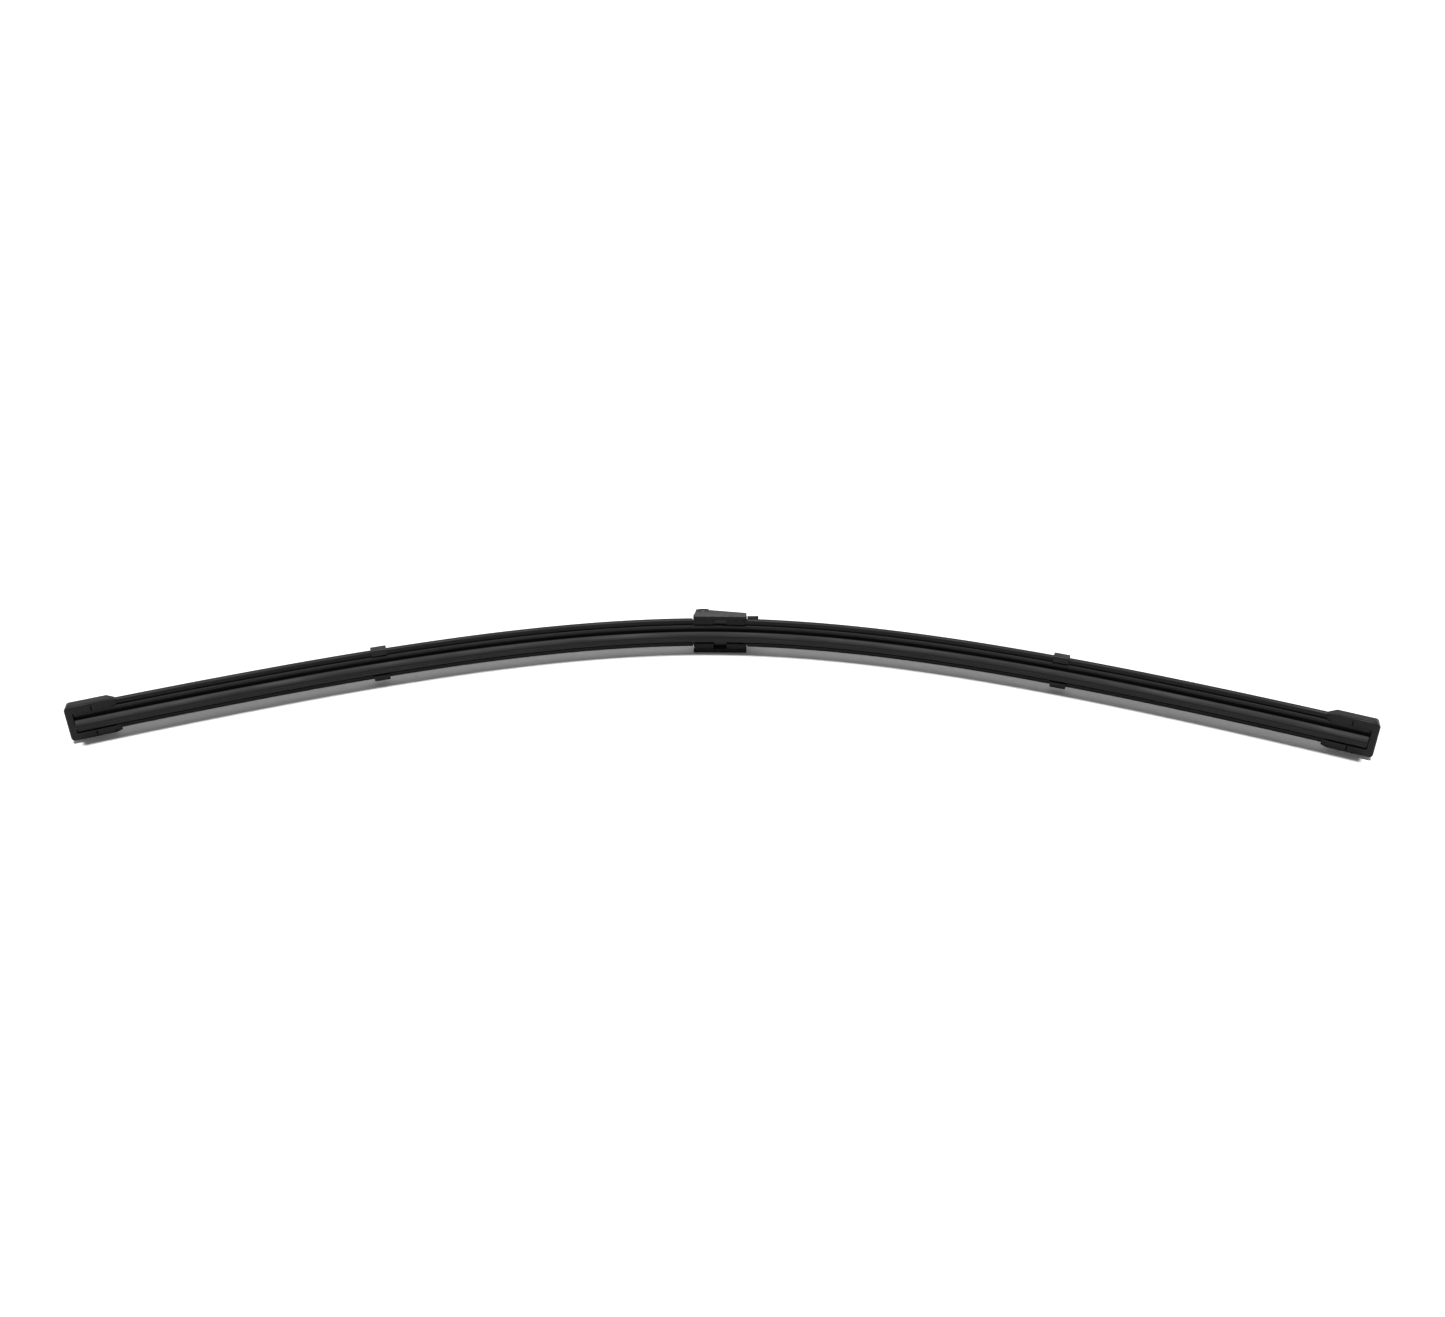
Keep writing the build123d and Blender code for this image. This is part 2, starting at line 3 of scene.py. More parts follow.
import bmesh
import bpy
from mathutils import Euler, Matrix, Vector


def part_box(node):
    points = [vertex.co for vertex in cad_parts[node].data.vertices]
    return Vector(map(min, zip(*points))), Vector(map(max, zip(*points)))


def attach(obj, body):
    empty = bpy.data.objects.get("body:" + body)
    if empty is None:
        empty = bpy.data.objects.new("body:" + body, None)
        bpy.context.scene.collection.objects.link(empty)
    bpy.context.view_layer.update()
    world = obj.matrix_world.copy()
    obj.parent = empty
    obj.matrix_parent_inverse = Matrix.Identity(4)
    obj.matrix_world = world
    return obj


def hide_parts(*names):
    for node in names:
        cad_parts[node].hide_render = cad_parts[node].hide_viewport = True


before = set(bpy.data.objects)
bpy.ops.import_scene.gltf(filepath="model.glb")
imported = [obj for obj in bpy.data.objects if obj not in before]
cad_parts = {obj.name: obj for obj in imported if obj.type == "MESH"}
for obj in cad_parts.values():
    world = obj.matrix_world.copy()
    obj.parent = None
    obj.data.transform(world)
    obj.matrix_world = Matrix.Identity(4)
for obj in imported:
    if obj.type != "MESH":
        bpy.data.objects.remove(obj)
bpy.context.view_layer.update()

# A flat windshield wiper blade that lies on its side. X runs along the blade, +Y points away
# from the glass, -Y to the glass, and Z is across the blade. Sections are outlines of (v, d)
# points in millimetres: v across the blade from its centre line, d above the rails' glass-side
# face. place() turns them into metres.
MM = 0.001
HALF_LENGTH = 300.0
R_MIDDLE = 275.0
R_END = 1900.0
ARC_BREAKS = (0.0, 30.0, 75.0, 130.0, 205.0, 300.0)
HALF_HEIGHT = 10.0
BRACKET_FACE = -2.4
APEX_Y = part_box("centre_bracket")[0].y / MM - BRACKET_FACE
STATION_STEP = 2.5      # distance between two rings of a swept piece
RAIL_STEP = 5.0
END_CHAMFER = 0.12
SMOOTH_ANGLE = 32       # edges above this many degrees stay sharp
FLAT_ANGLE = math.radians(1)    # faces closer than this are one flat face

FIT = 0.05              # gap between pieces of the blade that slide together

# Spring rails
RAIL_THICK = 0.9
RAIL_IN = 1.35
RAIL_OUT = 7.0
RAIL_ROUND = 0.3
RAIL_END = 295.0

# Rubber
WEB_HALF = 1.3
HEAD_HALF = 3.8
HEAD_TOP = 1.75
FLANGE_HALF = 4.6
FLANGE_FACE = -1.6
FLANGE_THIN = -0.45
BEAD_IN = 3.1
NECK_HALF = 0.45
SHOULDER_HALF = 1.85
SHOULDER_TOP = -2.6
SHOULDER_LOW = -3.1
FLANK_IN = 0.8          # the shoulder's flank narrows by this much
FLANK_DROP = 1.2        # over this height
LIP_ROOT = 0.55
LIP_HALF = 0.35
LIP_LENGTH = 1.8
LIP_TIP = -7.2
COAT_FULL = -4.9        # below this the lip's graphite coat is whole
RUBBER_ROUND = 0.16
RUBBER_END = 297.6

# Spoiler: a hard base that wraps the rails, and a soft fin on it
NOSE = (6.1, 0.4)       # centre of the base's rounded edge
NOSE_R = 1.5
CLAW_IN = 5.2
ROOF_HALF = 3.9
ROOF_LOW = 1.85
SLOPE_LOW = 2.0         # where the slope from the rounded edge to the fin begins
BASE_TOP = 2.85
BASE_ROUND = 0.13
BASE_START = 13.4
BLADE_END = 290.5
CLIP_S = 164.3
NOTCH_HALF = 3.8
FIN_HALF = 4.1
FIN_TOP = 9.0
FIN_V = 0.6
FIN_TIP_R = 0.65
FIN_WAIST_D = 5.1       # both hollow flanks pass through points at this height
FIN_WAIST_RIGHT = 0.75
FIN_WAIST_LEFT = 1.05
FIN_START = 20.6
FIN_RAMP = 3.5          # the fin's tip starts this much further on than its root
RAMP_FADE = 30.0        # and this far on, the ramp has faded out

# Pins
PIVOT_PIN_R = 1.2
LATCH_PIN_R = 0.9
PIN_CHAMFER = 0.22
DIMPLE_DEPTH = 0.25
DIMPLE_SHARE = 0.45     # radius of the dimple, as a part of the pin's
PIN_SIDES = 40

# ---------------------------------------------------------------- blade line

def bow(s):
    """Place and heading of the blade's line at s from the middle, in millimetres."""
    x, y, heading = 0.0, APEX_Y, 0.0
    for start, end in zip(ARC_BREAKS, ARC_BREAKS[1:]):
        step = min(abs(s), end) - start
        if step <= 0:
            break
        left = 1 - (start + end) / 2 / HALF_LENGTH
        bend = 1 / R_END + (1 / R_MIDDLE - 1 / R_END) * left * left
        x += (math.sin(heading + bend * step) - math.sin(heading)) / bend
        y += (math.cos(heading + bend * step) - math.cos(heading)) / bend
        heading += bend * step
    side = 1 if s >= 0 else -1
    return side * x, y, -side * heading


def place(s, v, d):
    """The point (v, d) of the section at s, in metres."""
    x, y, heading = bow(s)
    return Vector((x - d * math.sin(heading), y + d * math.cos(heading), HALF_HEIGHT + v)) * MM


# ---------------------------------------------------------------- outlines

def arc(centre, radius, start, end, steps):
    """Points of an arc, with its angles in degrees."""
    points = []
    for i in range(steps + 1):
        a = math.radians(start + (end - start) * i / steps)
        points.append((centre[0] + radius * math.cos(a), centre[1] + radius * math.sin(a)))
    return points


def bulge(a, through, b, steps):
    """Points of a smooth curve from a to b that passes through a point half way."""
    a, through, b = Vector(a), Vector(through), Vector(b)
    pull = 2 * through - (a + b) / 2
    curve = []
    for i in range(steps + 1):
        t = i / steps
        curve.append(tuple(a * (1 - t) ** 2 + pull * 2 * t * (1 - t) + b * t * t))
    return curve


CUT_SHARE = 0.42        # the most of a side that one rounded corner takes
SHORTEST = 0.01         # a corner whose arc is shorter than this stays a corner


def rounded(points, radius, steps=3):
    """The closed outline with every corner turned into a small arc."""
    result = []
    for i, point in enumerate(points):
        corner = Vector(point)
        back = Vector(points[i - 1]) - corner
        on = Vector(points[(i + 1) % len(points)]) - corner
        half_angle = back.angle(on) / 2
        cut = min(radius / math.tan(half_angle), CUT_SHARE * back.length, CUT_SHARE * on.length)
        start, end = corner + back.normalized() * cut, corner + on.normalized() * cut
        if (start - end).length < SHORTEST:
            result.append(tuple(corner))
            continue
        for k in range(steps + 1):
            t = k / steps
            result.append(tuple(start * (1 - t) ** 2 + corner * 2 * t * (1 - t) + end * t * t))
    return result


def mirrored(half):
    """The whole outline from its half at +v, whose first point is on the centre line."""
    return half + [(-v, d) for v, d in reversed(half) if v > 0]


def inset(outline, amount):
    """The outline with every point moved inwards."""
    area = sum(a[0] * b[1] - b[0] * a[1] for a, b in zip(outline, outline[1:] + outline[:1]))
    turn = 1 if area > 0 else -1
    result = []
    for i, (v, d) in enumerate(outline):
        along = Vector(outline[(i + 1) % len(outline)]) - Vector(outline[i - 1])
        along.normalize()
        result.append((v - turn * along.y * amount, d + turn * along.x * amount))
    return result


# ---------------------------------------------------------------- mesh helpers

def new_piece(name, mesh_data, smooth=SMOOTH_ANGLE):
    """A finished object with smooth faces and sharp edges above an angle in degrees."""
    mesh = bpy.data.meshes.new(name)
    mesh_data.to_mesh(mesh)
    mesh_data.free()
    mesh.shade_smooth()
    mesh.set_sharp_from_angle(angle=math.radians(smooth))
    piece = bpy.data.objects.new(name, mesh)
    bpy.context.scene.collection.objects.link(piece)
    return piece


def stations(start, end, step=STATION_STEP):
    """Even places along the blade, with one close to each end for its chamfer."""
    count = max(1, round((end - start) / step))
    inner = [start + (end - start) * i / count for i in range(1, count)]
    return [start, start + END_CHAMFER, *inner, end - END_CHAMFER, end]


def sweep(name, outline, places):
    """A closed bar with the outline as its section, with chamfered ends."""
    bm = bmesh.new()
    along = bm.verts.layers.float_vector.new("along")
    small = inset(outline, END_CHAMFER)
    rings = []
    for s in places:
        section = small if s in (places[0], places[-1]) else outline
        ring = []
        for v, d in section:
            vertex = bm.verts.new(place(s, v, d))
            vertex[along] = Vector((s, v, d)) * MM
            ring.append(vertex)
        rings.append(ring)
    for a, b in zip(rings, rings[1:]):
        for i in range(len(a)):
            bm.faces.new((a[i - 1], a[i], b[i], b[i - 1]))
    bm.faces.new(rings[0])
    bm.faces.new(rings[-1][::-1])
    bmesh.ops.recalc_face_normals(bm, faces=bm.faces)
    if bm.calc_volume(signed=True) < 0:
        bmesh.ops.reverse_faces(bm, faces=bm.faces)
    return new_piece(name, bm)


def add_bevel(piece, width, angle, clamp):
    """Rounded edges where faces meet above an angle in degrees. clamp keeps them from
    running into each other, at the price of a smaller radius on the whole piece."""
    bevel = piece.modifiers.new("soft_edges", "BEVEL")
    bevel.width = width
    bevel.segments = 2
    bevel.limit_method = "ANGLE"
    bevel.angle_limit = math.radians(angle)
    bevel.miter_outer = "MITER_ARC"
    bevel.use_clamp_overlap = clamp


def soft_copy(node, width, angle=28, weld=0.002, clamp=True):
    """A copy of a CAD node as one clean surface, with softened edges. Corners closer
    together than weld are joined. Widths are in millimetres."""
    name = "soft_" + node
    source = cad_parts[node].data
    mesh = bpy.data.meshes.new(name + "_raw")
    corners = [v.co[:] for v in source.vertices]
    mesh.from_pydata(corners, [], [p.vertices[:] for p in source.polygons])
    bm = bmesh.new()
    bm.from_mesh(mesh)
    bpy.data.meshes.remove(mesh)
    bmesh.ops.remove_doubles(bm, verts=bm.verts, dist=weld * MM)
    bmesh.ops.dissolve_degenerate(bm, dist=weld * MM, edges=bm.edges)
    bmesh.ops.dissolve_limit(bm, angle_limit=FLAT_ANGLE, verts=bm.verts, edges=bm.edges)
    bmesh.ops.recalc_face_normals(bm, faces=bm.faces)
    piece = new_piece(name, bm, smooth=angle)
    add_bevel(piece, width * MM, angle, clamp)
    even = piece.modifiers.new("even_faces", "WEIGHTED_NORMAL")
    even.keep_sharp = True
    return piece


# ---------------------------------------------------------------- materials

EDGE_SAMPLES = 6


class Finish:
    """A procedural material, built node by node on one Principled shader."""

    def __init__(self, name, coords, **sockets):
        self.material = bpy.data.materials.new(name)
        self.material.use_nodes = True
        self.tree = self.material.node_tree
        self.shader = self.tree.nodes["Principled BSDF"]
        for socket, value in sockets.items():
            self.shader.inputs[socket.replace("_", " ")].default_value = value
        if coords == "along":
            place_node = self.tree.nodes.new("ShaderNodeAttribute")
            place_node.attribute_name = "along"
            self.coords = place_node.outputs["Vector"]
        else:
            self.coords = self.tree.nodes.new("ShaderNodeTexCoord").outputs["Object"]

    def noise(self, size, detail=3.0, stretch=1.0):
        """Noise with features of this size in metres, stretched along x."""
        mapping = self.tree.nodes.new("ShaderNodeMapping")
        mapping.inputs["Scale"].default_value = (1 / size / stretch, 1 / size, 1 / size)
        self.tree.links.new(self.coords, mapping.inputs["Vector"])
        texture = self.tree.nodes.new("ShaderNodeTexNoise")
        texture.inputs["Scale"].default_value = 1.0
        texture.inputs["Detail"].default_value = detail
        self.tree.links.new(mapping.outputs["Vector"], texture.inputs["Vector"])
        return texture.outputs["Fac"]

    def height(self):
        """Height of the point in the blade's section."""
        split = self.tree.nodes.new("ShaderNodeSeparateXYZ")
        self.tree.links.new(self.coords, split.inputs["Vector"])
        return split.outputs["Z"]

    def ranged(self, value, low, high, at=0.35, to=0.65):
        """The value's stretch from at to to, spread between low and high."""
        node = self.tree.nodes.new("ShaderNodeMapRange")
        self.tree.links.new(value, node.inputs["Value"])
        for socket, number in zip(("From Min", "From Max", "To Min", "To Max"), (at, to, low, high)):
            node.inputs[socket].default_value = number
        return node.outputs["Result"]

    def times(self, a, b):
        node = self.tree.nodes.new("ShaderNodeMath")
        node.operation = "MULTIPLY"
        self.tree.links.new(a, node.inputs[0])
        self.tree.links.new(b, node.inputs[1])
        return node.outputs["Value"]

    def mixed(self, factor, a, b):
        """Colour a where the factor is 0, b where it is 1. Each is a colour or an output."""
        node = self.tree.nodes.new("ShaderNodeMix")
        node.data_type = "RGBA"
        self.tree.links.new(factor, node.inputs["Factor"])
        for index, colour in ((6, a), (7, b)):
            if isinstance(colour, tuple):
                node.inputs[index].default_value = (*colour, 1)
            else:
                self.tree.links.new(colour, node.inputs[index])
        return node.outputs[2]

    def edges(self, radius):
        """1 on the object's edges and 0 on its open faces."""
        bevel = self.tree.nodes.new("ShaderNodeBevel")
        bevel.samples = EDGE_SAMPLES
        bevel.inputs["Radius"].default_value = radius
        normal = self.tree.nodes.new("ShaderNodeNewGeometry").outputs["Normal"]
        dot = self.tree.nodes.new("ShaderNodeVectorMath")
        dot.operation = "DOT_PRODUCT"
        self.tree.links.new(bevel.outputs["Normal"], dot.inputs[0])
        self.tree.links.new(normal, dot.inputs[1])
        return self.ranged(dot.outputs["Value"], 1, 0, at=0.86, to=0.985)

    def facing_across(self):
        """1 on faces that look across the blade, 0 on those that look along or out of it."""
        normal = self.tree.nodes.new("ShaderNodeTexCoord").outputs["Normal"]
        split = self.tree.nodes.new("ShaderNodeSeparateXYZ")
        self.tree.links.new(normal, split.inputs["Vector"])
        size = self.tree.nodes.new("ShaderNodeMath")
        size.operation = "ABSOLUTE"
        self.tree.links.new(split.outputs["Z"], size.inputs[0])
        return self.ranged(size.outputs["Value"], 0, 1, at=0.7, to=0.95)

    def grain(self, *layers):
        """Bump from (height value, depth in metres) layers."""
        normal = None
        for height, depth in layers:
            bump = self.tree.nodes.new("ShaderNodeBump")
            bump.inputs["Distance"].default_value = depth
            bump.inputs["Strength"].default_value = 1.0
            self.tree.links.new(height, bump.inputs["Height"])
            if normal is not None:
                self.tree.links.new(normal, bump.inputs["Normal"])
            normal = bump.outputs["Normal"]
        self.tree.links.new(normal, self.shader.inputs["Normal"])

    def colour(self, output):
        self.tree.links.new(output, self.shader.inputs["Base Color"])

    def roughness(self, output):
        self.tree.links.new(output, self.shader.inputs["Roughness"])


def grey(value):
    """A black plastic's slightly cool grey."""
    return (value, value, value * 1.04)


def extruded(name, dark, light, rough, specular, haze=0.0, lip=None):
    """Extruded rubber or plastic: die lines along the blade, a dull bloom in patches.
    lip is the grey of the graphite coat that covers the wiping lip."""
    finish = Finish(name, "along", Specular_IOR_Level=specular)
    lines = finish.noise(0.25 * MM, detail=2, stretch=120)
    streaks = finish.noise(0.9 * MM, stretch=40)
    bloom = finish.noise(6 * MM, detail=4, stretch=4)
    powder = finish.noise(0.12 * MM, detail=1)
    tone = finish.mixed(finish.ranged(streaks, 0, 1), grey(dark), grey(light))
    tone = finish.mixed(finish.ranged(bloom, 0, 0.6), tone, grey(light + haze))
    if lip is not None:
        coat = finish.ranged(finish.height(), 1, 0, at=COAT_FULL * MM, to=SHOULDER_LOW * MM)
        tone = finish.mixed(coat, tone, grey(lip))
    finish.colour(tone)
    finish.roughness(finish.ranged(bloom, rough - 0.07, rough + 0.08))
    finish.grain((lines, 0.012 * MM), (powder, 0.006 * MM))
    return finish.material


def moulded(name, dark, light, rough, specular, spark=0.35):
    """Injection moulded plastic: fine eroded texture, faint flow marks, polished edges."""
    finish = Finish(name, "object", Specular_IOR_Level=specular)
    erosion = finish.noise(spark * MM, detail=4)
    flow = finish.noise(5 * MM, detail=3, stretch=2.5)
    rub = finish.times(finish.edges(0.35 * MM), finish.ranged(finish.noise(1.6 * MM), 0.2, 1))
    tone = finish.mixed(finish.ranged(flow, 0, 1), grey(dark), grey(light))
    finish.colour(finish.mixed(rub, tone, grey(light * 1.7)))
    finish.roughness(finish.ranged(flow, rough - 0.06, rough + 0.07))
    finish.grain((erosion, 0.02 * MM))
    return finish.material


def painted(name, dark, light, rough, specular, chips, painted_lit_grey=None):
    """Black paint on sheet steel: orange peel, dull mottling, thin at its edges.
    painted_lit_grey is a painted highlight: a lighter grey on the faces that look across the blade,
    standing in for the light from above."""
    finish = Finish(name, "object", Specular_IOR_Level=specular)
    peel = finish.noise(0.8 * MM, detail=2)
    pores = finish.noise(0.2 * MM, detail=3)
    mottle = finish.noise(2.2 * MM, detail=5)
    worn = finish.times(finish.edges(0.4 * MM), finish.ranged(finish.noise(0.9 * MM), 0, 1, at=0.5))
    tone = finish.mixed(finish.ranged(mottle, 0, 1), grey(dark), grey(light))
    # Painted highlight: faces that look across the blade (up and down as it lies) get a lighter,
    # streaky grey in place of the light that falls on them.
    if painted_lit_grey is not None:
        lit_streaks = finish.noise(0.7 * MM, detail=4, stretch=3)
        painted_lit_tone = finish.mixed(finish.ranged(lit_streaks, 0, 1), grey(painted_lit_grey * 0.7), grey(painted_lit_grey))
        tone = finish.mixed(finish.facing_across(), tone, painted_lit_tone)
    finish.colour(finish.mixed(worn, tone, grey(chips)))
    finish.roughness(finish.ranged(mottle, rough - 0.1, rough + 0.1))
    finish.grain((peel, 0.03 * MM), (pores, 0.012 * MM))
    return finish.material


def coated_strip(name, dark, light, rough, specular):
    """Spring steel under a thin black coat that shows the rolling lines."""
    finish = Finish(name, "along", Specular_IOR_Level=specular)
    lines = finish.noise(0.15 * MM, detail=2, stretch=80)
    film = finish.noise(3 * MM, detail=4, stretch=6)
    finish.colour(finish.mixed(finish.ranged(film, 0, 1), grey(dark), grey(light)))
    finish.roughness(finish.ranged(lines, rough - 0.06, rough + 0.08))
    finish.grain((lines, 0.01 * MM))
    return finish.material


def turned_steel(name, tone, rough):
    """Turned steel with fine lines and a dull phosphate film."""
    finish = Finish(name, "object", Metallic=1.0)
    lines = finish.noise(0.1 * MM, detail=2)
    film = finish.noise(3 * MM, detail=4)
    finish.colour(finish.mixed(finish.ranged(film, 0, 1), grey(tone * 0.75), grey(tone)))
    finish.roughness(finish.ranged(film, rough - 0.08, rough + 0.1))
    finish.grain((lines, 0.008 * MM))
    return finish.material


MATERIALS = {
    "rubber": extruded("rubber", 0.011, 0.017, 0.60, 0.22, haze=0.006, lip=0.0025),
    "spoiler_base": extruded("spoiler_base", 0.004, 0.007, 0.50, 0.16),
    "spoiler_fin": extruded("spoiler_fin", 0.006, 0.010, 0.60, 0.18),
    "rail_steel": coated_strip("rail_steel", 0.008, 0.016, 0.40, 0.28),
    "clip_steel": painted("clip_steel", 0.003, 0.006, 0.40, 0.20, chips=0.05),
    "cap_plastic": moulded("cap_plastic", 0.004, 0.006, 0.42, 0.18),
    # The bracket's faces across the blade carry a painted highlight: a lighter grey for the light
    # from above.
    "bracket_paint": painted("bracket_paint", 0.003, 0.006, 0.40, 0.14, chips=0.05, painted_lit_grey=0.040),
    "bush_plastic": moulded("bush_plastic", 0.004, 0.006, 0.36, 0.20),
    "pin_steel": turned_steel("pin_steel", 0.10, 0.34),
    "adapter_plastic": moulded("adapter_plastic", 0.008, 0.013, 0.42, 0.28),
    "latch_plastic": moulded("latch_plastic", 0.009, 0.014, 0.40, 0.28),
}


def dress(piece, node, body, slot):
    """The piece stands for its CAD node, rides on its body and takes the slot's finish."""
    piece.data.materials.clear()
    piece.data.materials.append(MATERIALS[slot])
    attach(piece, body)
    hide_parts(node)
    return piece


# ---------------------------------------------------------------- rubber and rails

def rubber_outline():
    """Head, two rail grooves, flange with a bead at each edge, neck and wiping lip."""
    flank = (SHOULDER_HALF - FLANK_IN, SHOULDER_LOW - FLANK_DROP)
    half = [
        (0, HEAD_TOP), (HEAD_HALF, HEAD_TOP), (HEAD_HALF, RAIL_THICK + FIT),
        (WEB_HALF, RAIL_THICK + FIT), (WEB_HALF, -FIT), (FLANGE_HALF, -FIT),
        (FLANGE_HALF, FLANGE_FACE), (BEAD_IN, FLANGE_FACE), (BEAD_IN, FLANGE_THIN),
        (NECK_HALF, FLANGE_THIN), (NECK_HALF, SHOULDER_TOP), (SHOULDER_HALF, SHOULDER_TOP),
        (SHOULDER_HALF, SHOULDER_LOW), flank, (LIP_ROOT, LIP_TIP + LIP_LENGTH), (LIP_HALF, LIP_TIP),
    ]
    return rounded(mirrored(half), RUBBER_ROUND)


def make_rubber():
    piece = sweep("wiping_rubber", rubber_outline(), stations(-RUBBER_END, RUBBER_END))
    return dress(piece, "wiper_rubber", "blade", "rubber")


def make_rail(name, side):
    """Spring rail of flat steel with rolled edges."""
    outline = [(RAIL_IN, 0), (RAIL_OUT, 0), (RAIL_OUT, RAIL_THICK), (RAIL_IN, RAIL_THICK)]
    outline = rounded([(side * v, d) for v, d in outline], RAIL_ROUND)
    piece = sweep("spring_" + name, outline, stations(-RAIL_END, RAIL_END, RAIL_STEP))
    return dress(piece, name, "blade", "rail_steel")


# ---------------------------------------------------------------- spoiler

def base_outline():
    """Base that wraps both rails: low roof, claws below the rails and rounded edges."""
    claw = RAIL_OUT + FIT
    right = [
        (ROOF_HALF, ROOF_LOW), (ROOF_HALF, RAIL_THICK + FIT), (claw, RAIL_THICK + FIT),
        (claw, -FIT), (CLAW_IN, -FIT), (CLAW_IN, NOSE[1] - NOSE_R),
        *arc(NOSE, NOSE_R, -90, 90, 14), (CLAW_IN, SLOPE_LOW), (FIN_HALF, BASE_TOP),
    ]
    return [(0, ROOF_LOW), *right, (0, BASE_TOP), *[(-v, d) for v, d in reversed(right)]]


def make_base(side, end):
    """Wrapping base, with a notch that the clip's strap crosses."""
    name = "spoiler_base_" + end
    outline = rounded(base_outline(), BASE_ROUND, steps=2)
    piece = sweep("wrap_" + name, outline, stations(BASE_START, BLADE_END))
    cutter = notch_cutter()
    cut = piece.modifiers.new("notch", "BOOLEAN")
    cut.operation = "DIFFERENCE"
    cut.solver = "EXACT"
    cut.object = cutter
    bake_modifiers(piece)
    bpy.data.objects.remove(cutter)
    if side < 0:
        flip(piece)
    return dress(piece, name, "blade", "spoiler_base")


def notch_cutter():
    """A block across the base's roof, where the clip crosses it."""
    wide, high = NOSE[0] + 2 * NOSE_R, 2 * BASE_TOP
    outline = [(-wide, ROOF_LOW), (wide, ROOF_LOW), (wide, high), (-wide, high)]
    return sweep("notch_cutter", outline, [CLIP_S - NOTCH_HALF, CLIP_S, CLIP_S + NOTCH_HALF])


def bake_modifiers(piece):
    """Turn the piece's modifiers into its mesh."""
    bpy.context.view_layer.update()
    graph = bpy.context.evaluated_depsgraph_get()
    mesh = bpy.data.meshes.new_from_object(piece.evaluated_get(graph), depsgraph=graph)
    piece.modifiers.clear()
    piece.data = mesh
    mesh.shade_smooth()
    mesh.set_sharp_from_angle(angle=math.radians(SMOOTH_ANGLE))


def flip(piece):
    """Mirror the piece's mesh to the other end of the blade."""
    bm = bmesh.new()
    bm.from_mesh(piece.data)
    along = bm.verts.layers.float_vector.get("along")
    for vertex in bm.verts:
        vertex.co.x = -vertex.co.x
        vertex[along].x = -vertex[along].x
    bmesh.ops.reverse_faces(bm, faces=bm.faces)
    bm.to_mesh(piece.data)
    bm.free()


def fin_outline():
    """Two hollow flanks that meet in a rounded tip, leaning a little to +v."""
    tip = (FIN_V, FIN_TOP - FIN_TIP_R)
    crown = arc(tip, FIN_TIP_R, 0, 180, 8)
    waist_right = (FIN_V + FIN_TIP_R + FIN_WAIST_RIGHT, FIN_WAIST_D)
    waist_left = (FIN_V - FIN_TIP_R - FIN_WAIST_LEFT, FIN_WAIST_D)
    right = bulge((FIN_HALF, BASE_TOP), waist_right, crown[0], 14)
    left = bulge(crown[-1], waist_left, (-FIN_HALF, BASE_TOP), 14)
    return [*right, *crown[1:-1], *left]


def make_fin(side, end):
    """Soft fin that rises in a ramp at its start, beside the bracket."""
    name = "spoiler_fin_" + end
    piece = sweep("soft_" + name, fin_outline(), stations(FIN_START, BLADE_END))
    for vertex, key in zip(piece.data.vertices, piece.data.attributes["along"].data):
        s, v, d = (number / MM for number in key.vector)
        lean = FIN_RAMP * (d - BASE_TOP) / (FIN_TOP - BASE_TOP)
        share = max(0.0, 1 - (s - FIN_START) / RAMP_FADE)
        vertex.co = place(s + lean * share, v, d)
    if side < 0:
        flip(piece)
    return dress(piece, name, "blade", "spoiler_fin")


# ---------------------------------------------------------------- pins

def make_pin(node, radius, body):
    """A turned pin across the blade: chamfered ends with a shallow centre dimple."""
    low, high = (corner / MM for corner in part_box(node))
    centre = (low + high) / 2
    profile = [(radius * DIMPLE_SHARE, 0), (radius - PIN_CHAMFER, 0), (radius, PIN_CHAMFER)]
    bottom = [(r, low.z + z) for r, z in profile]
    top = [(r, high.z - z) for r, z in reversed(profile)]
    bm = bmesh.new()
    loops = []
    for r, z in bottom + top:
        round_points = arc((centre.x, centre.y), r, 0, 360, PIN_SIDES)[:-1]
        loops.append([bm.verts.new(Vector((x, y, z)) * MM) for x, y in round_points])
    for a, b in zip(loops, loops[1:]):
        for i in range(PIN_SIDES):
            bm.faces.new((a[i - 1], a[i], b[i], b[i - 1]))
    for loop, z in ((loops[0], low.z + DIMPLE_DEPTH), (loops[-1], high.z - DIMPLE_DEPTH)):
        tip = bm.verts.new(Vector((centre.x, centre.y, z)) * MM)
        for i in range(PIN_SIDES):
            bm.faces.new((loop[i - 1], loop[i], tip))
    bmesh.ops.recalc_face_normals(bm, faces=bm.faces)
    return dress(new_piece("turned_" + node, bm), node, body, "pin_steel")


# ---------------------------------------------------------------- assembly

make_rubber()
make_rail("rail_upper", 1)
make_rail("rail_lower", -1)
for side, end in ((1, "right"), (-1, "left")):
    make_base(side, end)
    make_fin(side, end)
    for node, slot, width in (
        ("rail_clip_" + end, "clip_steel", 0.12),
        ("rail_staple_" + end, "clip_steel", 0.08),
        ("end_cap_" + end, "cap_plastic", 0.15),
    ):
        dress(soft_copy(node, width, angle=50, weld=0.05), node, "blade", slot)

for node, body, slot, width in (
    ("centre_bracket", "blade", "bracket_paint", 0.18),
    ("pivot_bush_upper", "blade", "bush_plastic", 0.12),
    ("pivot_bush_lower", "blade", "bush_plastic", 0.12),
    ("adapter_body", "adapter", "adapter_plastic", 0.15),
    ("release_latch", "latch", "latch_plastic", 0.12),
):
    dress(soft_copy(node, width, clamp=False), node, body, slot)
make_pin("pivot_pin", PIVOT_PIN_R, "blade")
make_pin("latch_pin", LATCH_PIN_R, "adapter")


# ---------------------------------------------------------------- floor, light, camera

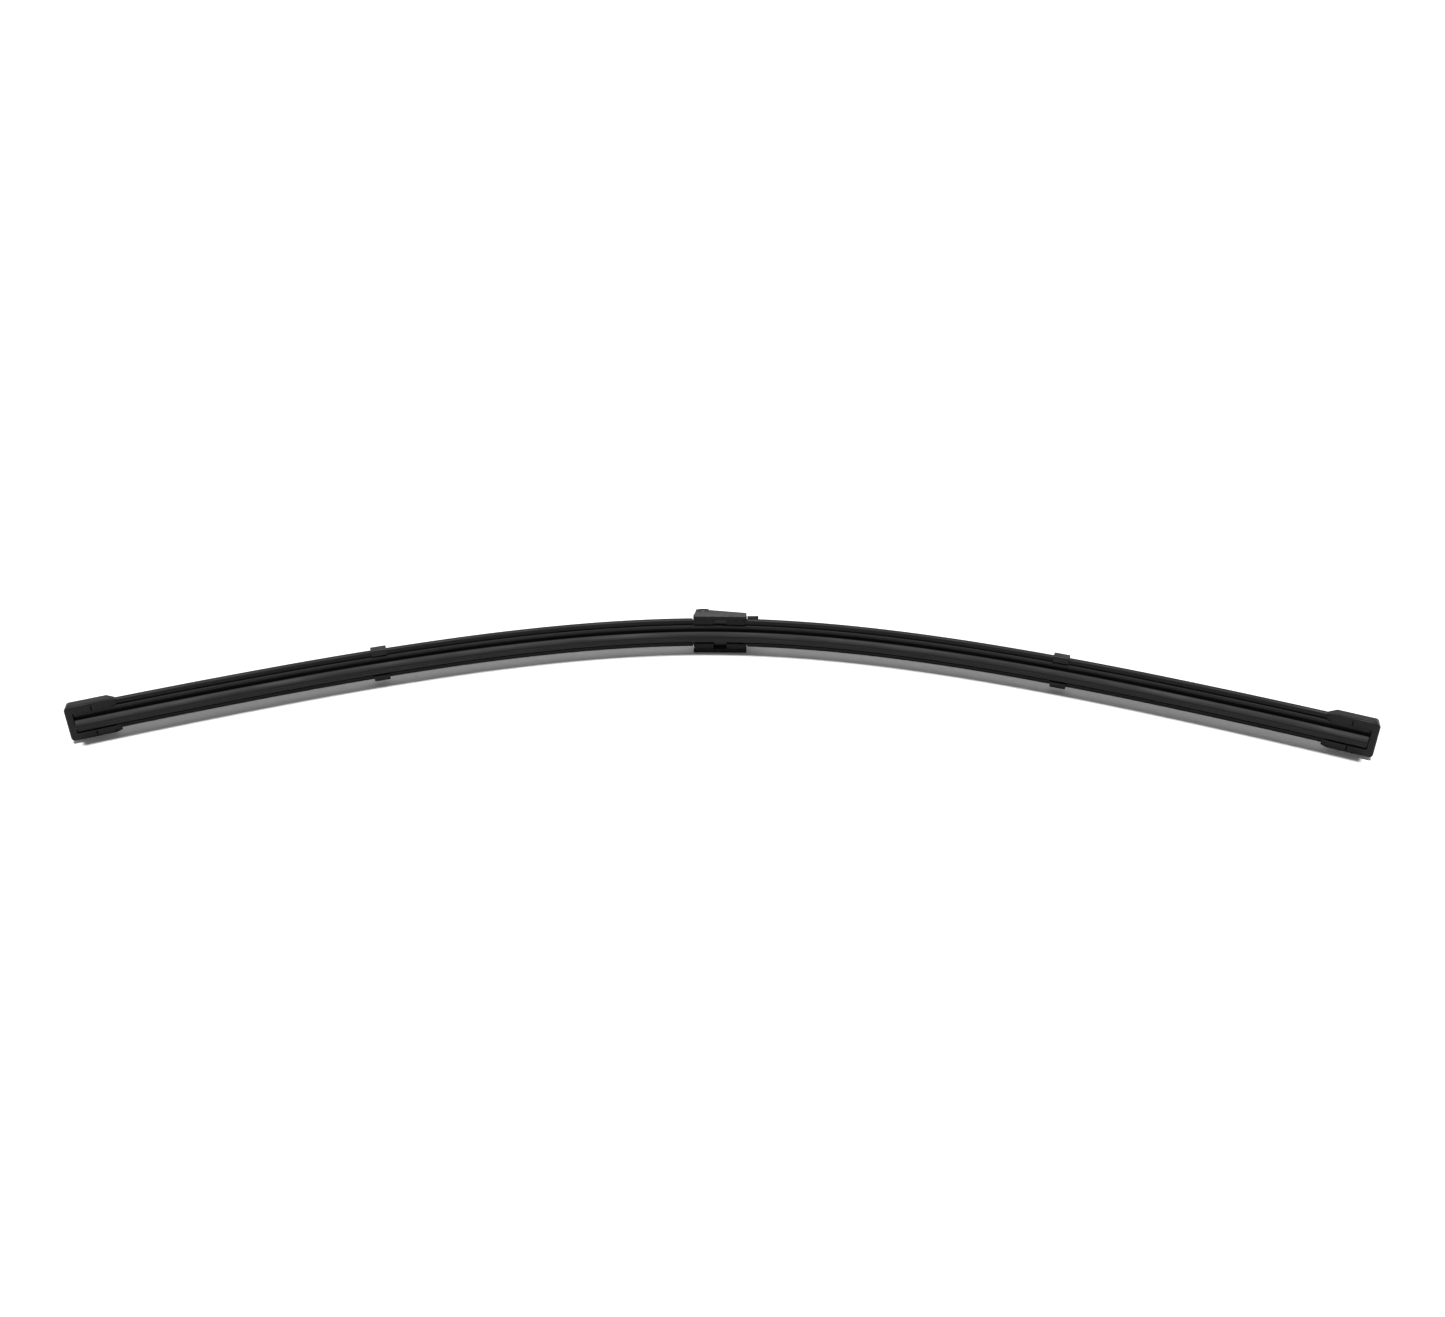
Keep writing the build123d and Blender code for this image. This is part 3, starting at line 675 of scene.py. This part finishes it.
FLOOR_HALF = 12.0
WHITE = (1, 1, 1, 1)
OVERHEAD_PLACE = (0, -0.6, 3)
WALL_WIDTH, WALL_HEIGHT = 5.0, 1.6
WALL_PLACE = (0, 1.8, 1.15)
WALL_AIM = (0, 0, 0.4)
CAMERA_PLACE = (0.0195, -0.5431, 0.3240)
CAMERA_DOWN = 29.33     # degrees below level
CAMERA_TURN = 1.795     # degrees to the left
CAMERA_ROLL = -0.25


def make_floor():
    """A plain pale table top with a faint, fine tooth."""
    bm = bmesh.new()
    bmesh.ops.create_grid(bm, x_segments=8, y_segments=8, size=FLOOR_HALF)
    floor = new_piece("floor", bm)
    finish = Finish("pale_floor", "object", Specular_IOR_Level=0.2)
    tone = finish.ranged(finish.noise(0.35, detail=3), 0, 1)
    finish.colour(finish.mixed(tone, (0.86, 0.86, 0.87), (0.90, 0.90, 0.91)))
    finish.roughness(finish.ranged(finish.noise(0.05), 0.7, 0.8))
    finish.grain((finish.noise(1.5 * MM), 0.05 * MM))
    floor.data.materials.append(finish.material)


def add_lamp(light, place_at, aim):
    """A lamp that the camera itself doesn't see."""
    lamp = bpy.data.objects.new(light.name, light)
    lamp.location = place_at
    lamp.rotation_euler = (Vector(aim) - Vector(place_at)).to_track_quat("-Z", "Y").to_euler()
    lamp.visible_camera = False
    bpy.context.scene.collection.objects.link(lamp)


def make_overhead(power, spread):
    """A soft light from above the camera, as even at the floor's far end as at the blade."""
    light = bpy.data.lights.new("overhead", "SUN")
    light.energy = power
    light.angle = math.radians(spread)
    add_lamp(light, OVERHEAD_PLACE, (0, 0, 0))


def make_wall_light(radiance):
    """A pale wall behind the blade, which its upward faces mirror."""
    light = bpy.data.lights.new("wall", "AREA")
    light.shape = "RECTANGLE"
    light.size, light.size_y = WALL_WIDTH, WALL_HEIGHT
    light.energy = radiance * math.pi * light.size * light.size_y
    add_lamp(light, WALL_PLACE, WALL_AIM)


def make_world(tone):
    """Even grey light from all around. The camera itself sees white beyond the table."""
    world = bpy.data.worlds.new("studio")
    world.use_nodes = True
    nodes, links = world.node_tree.nodes, world.node_tree.links
    around = nodes["Background"]
    around.inputs["Color"].default_value = (tone, tone, tone, 1)
    backdrop = nodes.new("ShaderNodeBackground")
    backdrop.inputs["Color"].default_value = WHITE
    path = nodes.new("ShaderNodeLightPath")
    choice = nodes.new("ShaderNodeMixShader")
    links.new(path.outputs["Is Camera Ray"], choice.inputs["Fac"])
    links.new(around.outputs["Background"], choice.inputs[1])
    links.new(backdrop.outputs["Background"], choice.inputs[2])
    links.new(choice.outputs["Shader"], nodes["World Output"].inputs["Surface"])
    bpy.context.scene.world = world


def make_camera():
    """The camera stands before the middle of the blade, on its glass side, and looks down."""
    data = bpy.data.cameras.new("camera")
    data.lens = 33.59
    data.sensor_width = 36.0
    data.clip_start, data.clip_end = 0.01, 60.0
    camera = bpy.data.objects.new("camera", data)
    camera.location = CAMERA_PLACE
    turn = Euler((0, 0, math.radians(CAMERA_TURN))).to_matrix()
    tilt = Euler((math.radians(90 - CAMERA_DOWN), 0, 0)).to_matrix()
    roll = Euler((0, 0, math.radians(CAMERA_ROLL))).to_matrix()
    camera.rotation_euler = (turn @ tilt @ roll).to_euler()
    bpy.context.scene.collection.objects.link(camera)
    bpy.context.scene.camera = camera


make_floor()
make_world(0.3)
make_overhead(3.9, 14)
make_wall_light(1.0)
make_camera()
bpy.context.scene.view_settings.view_transform = "Standard"
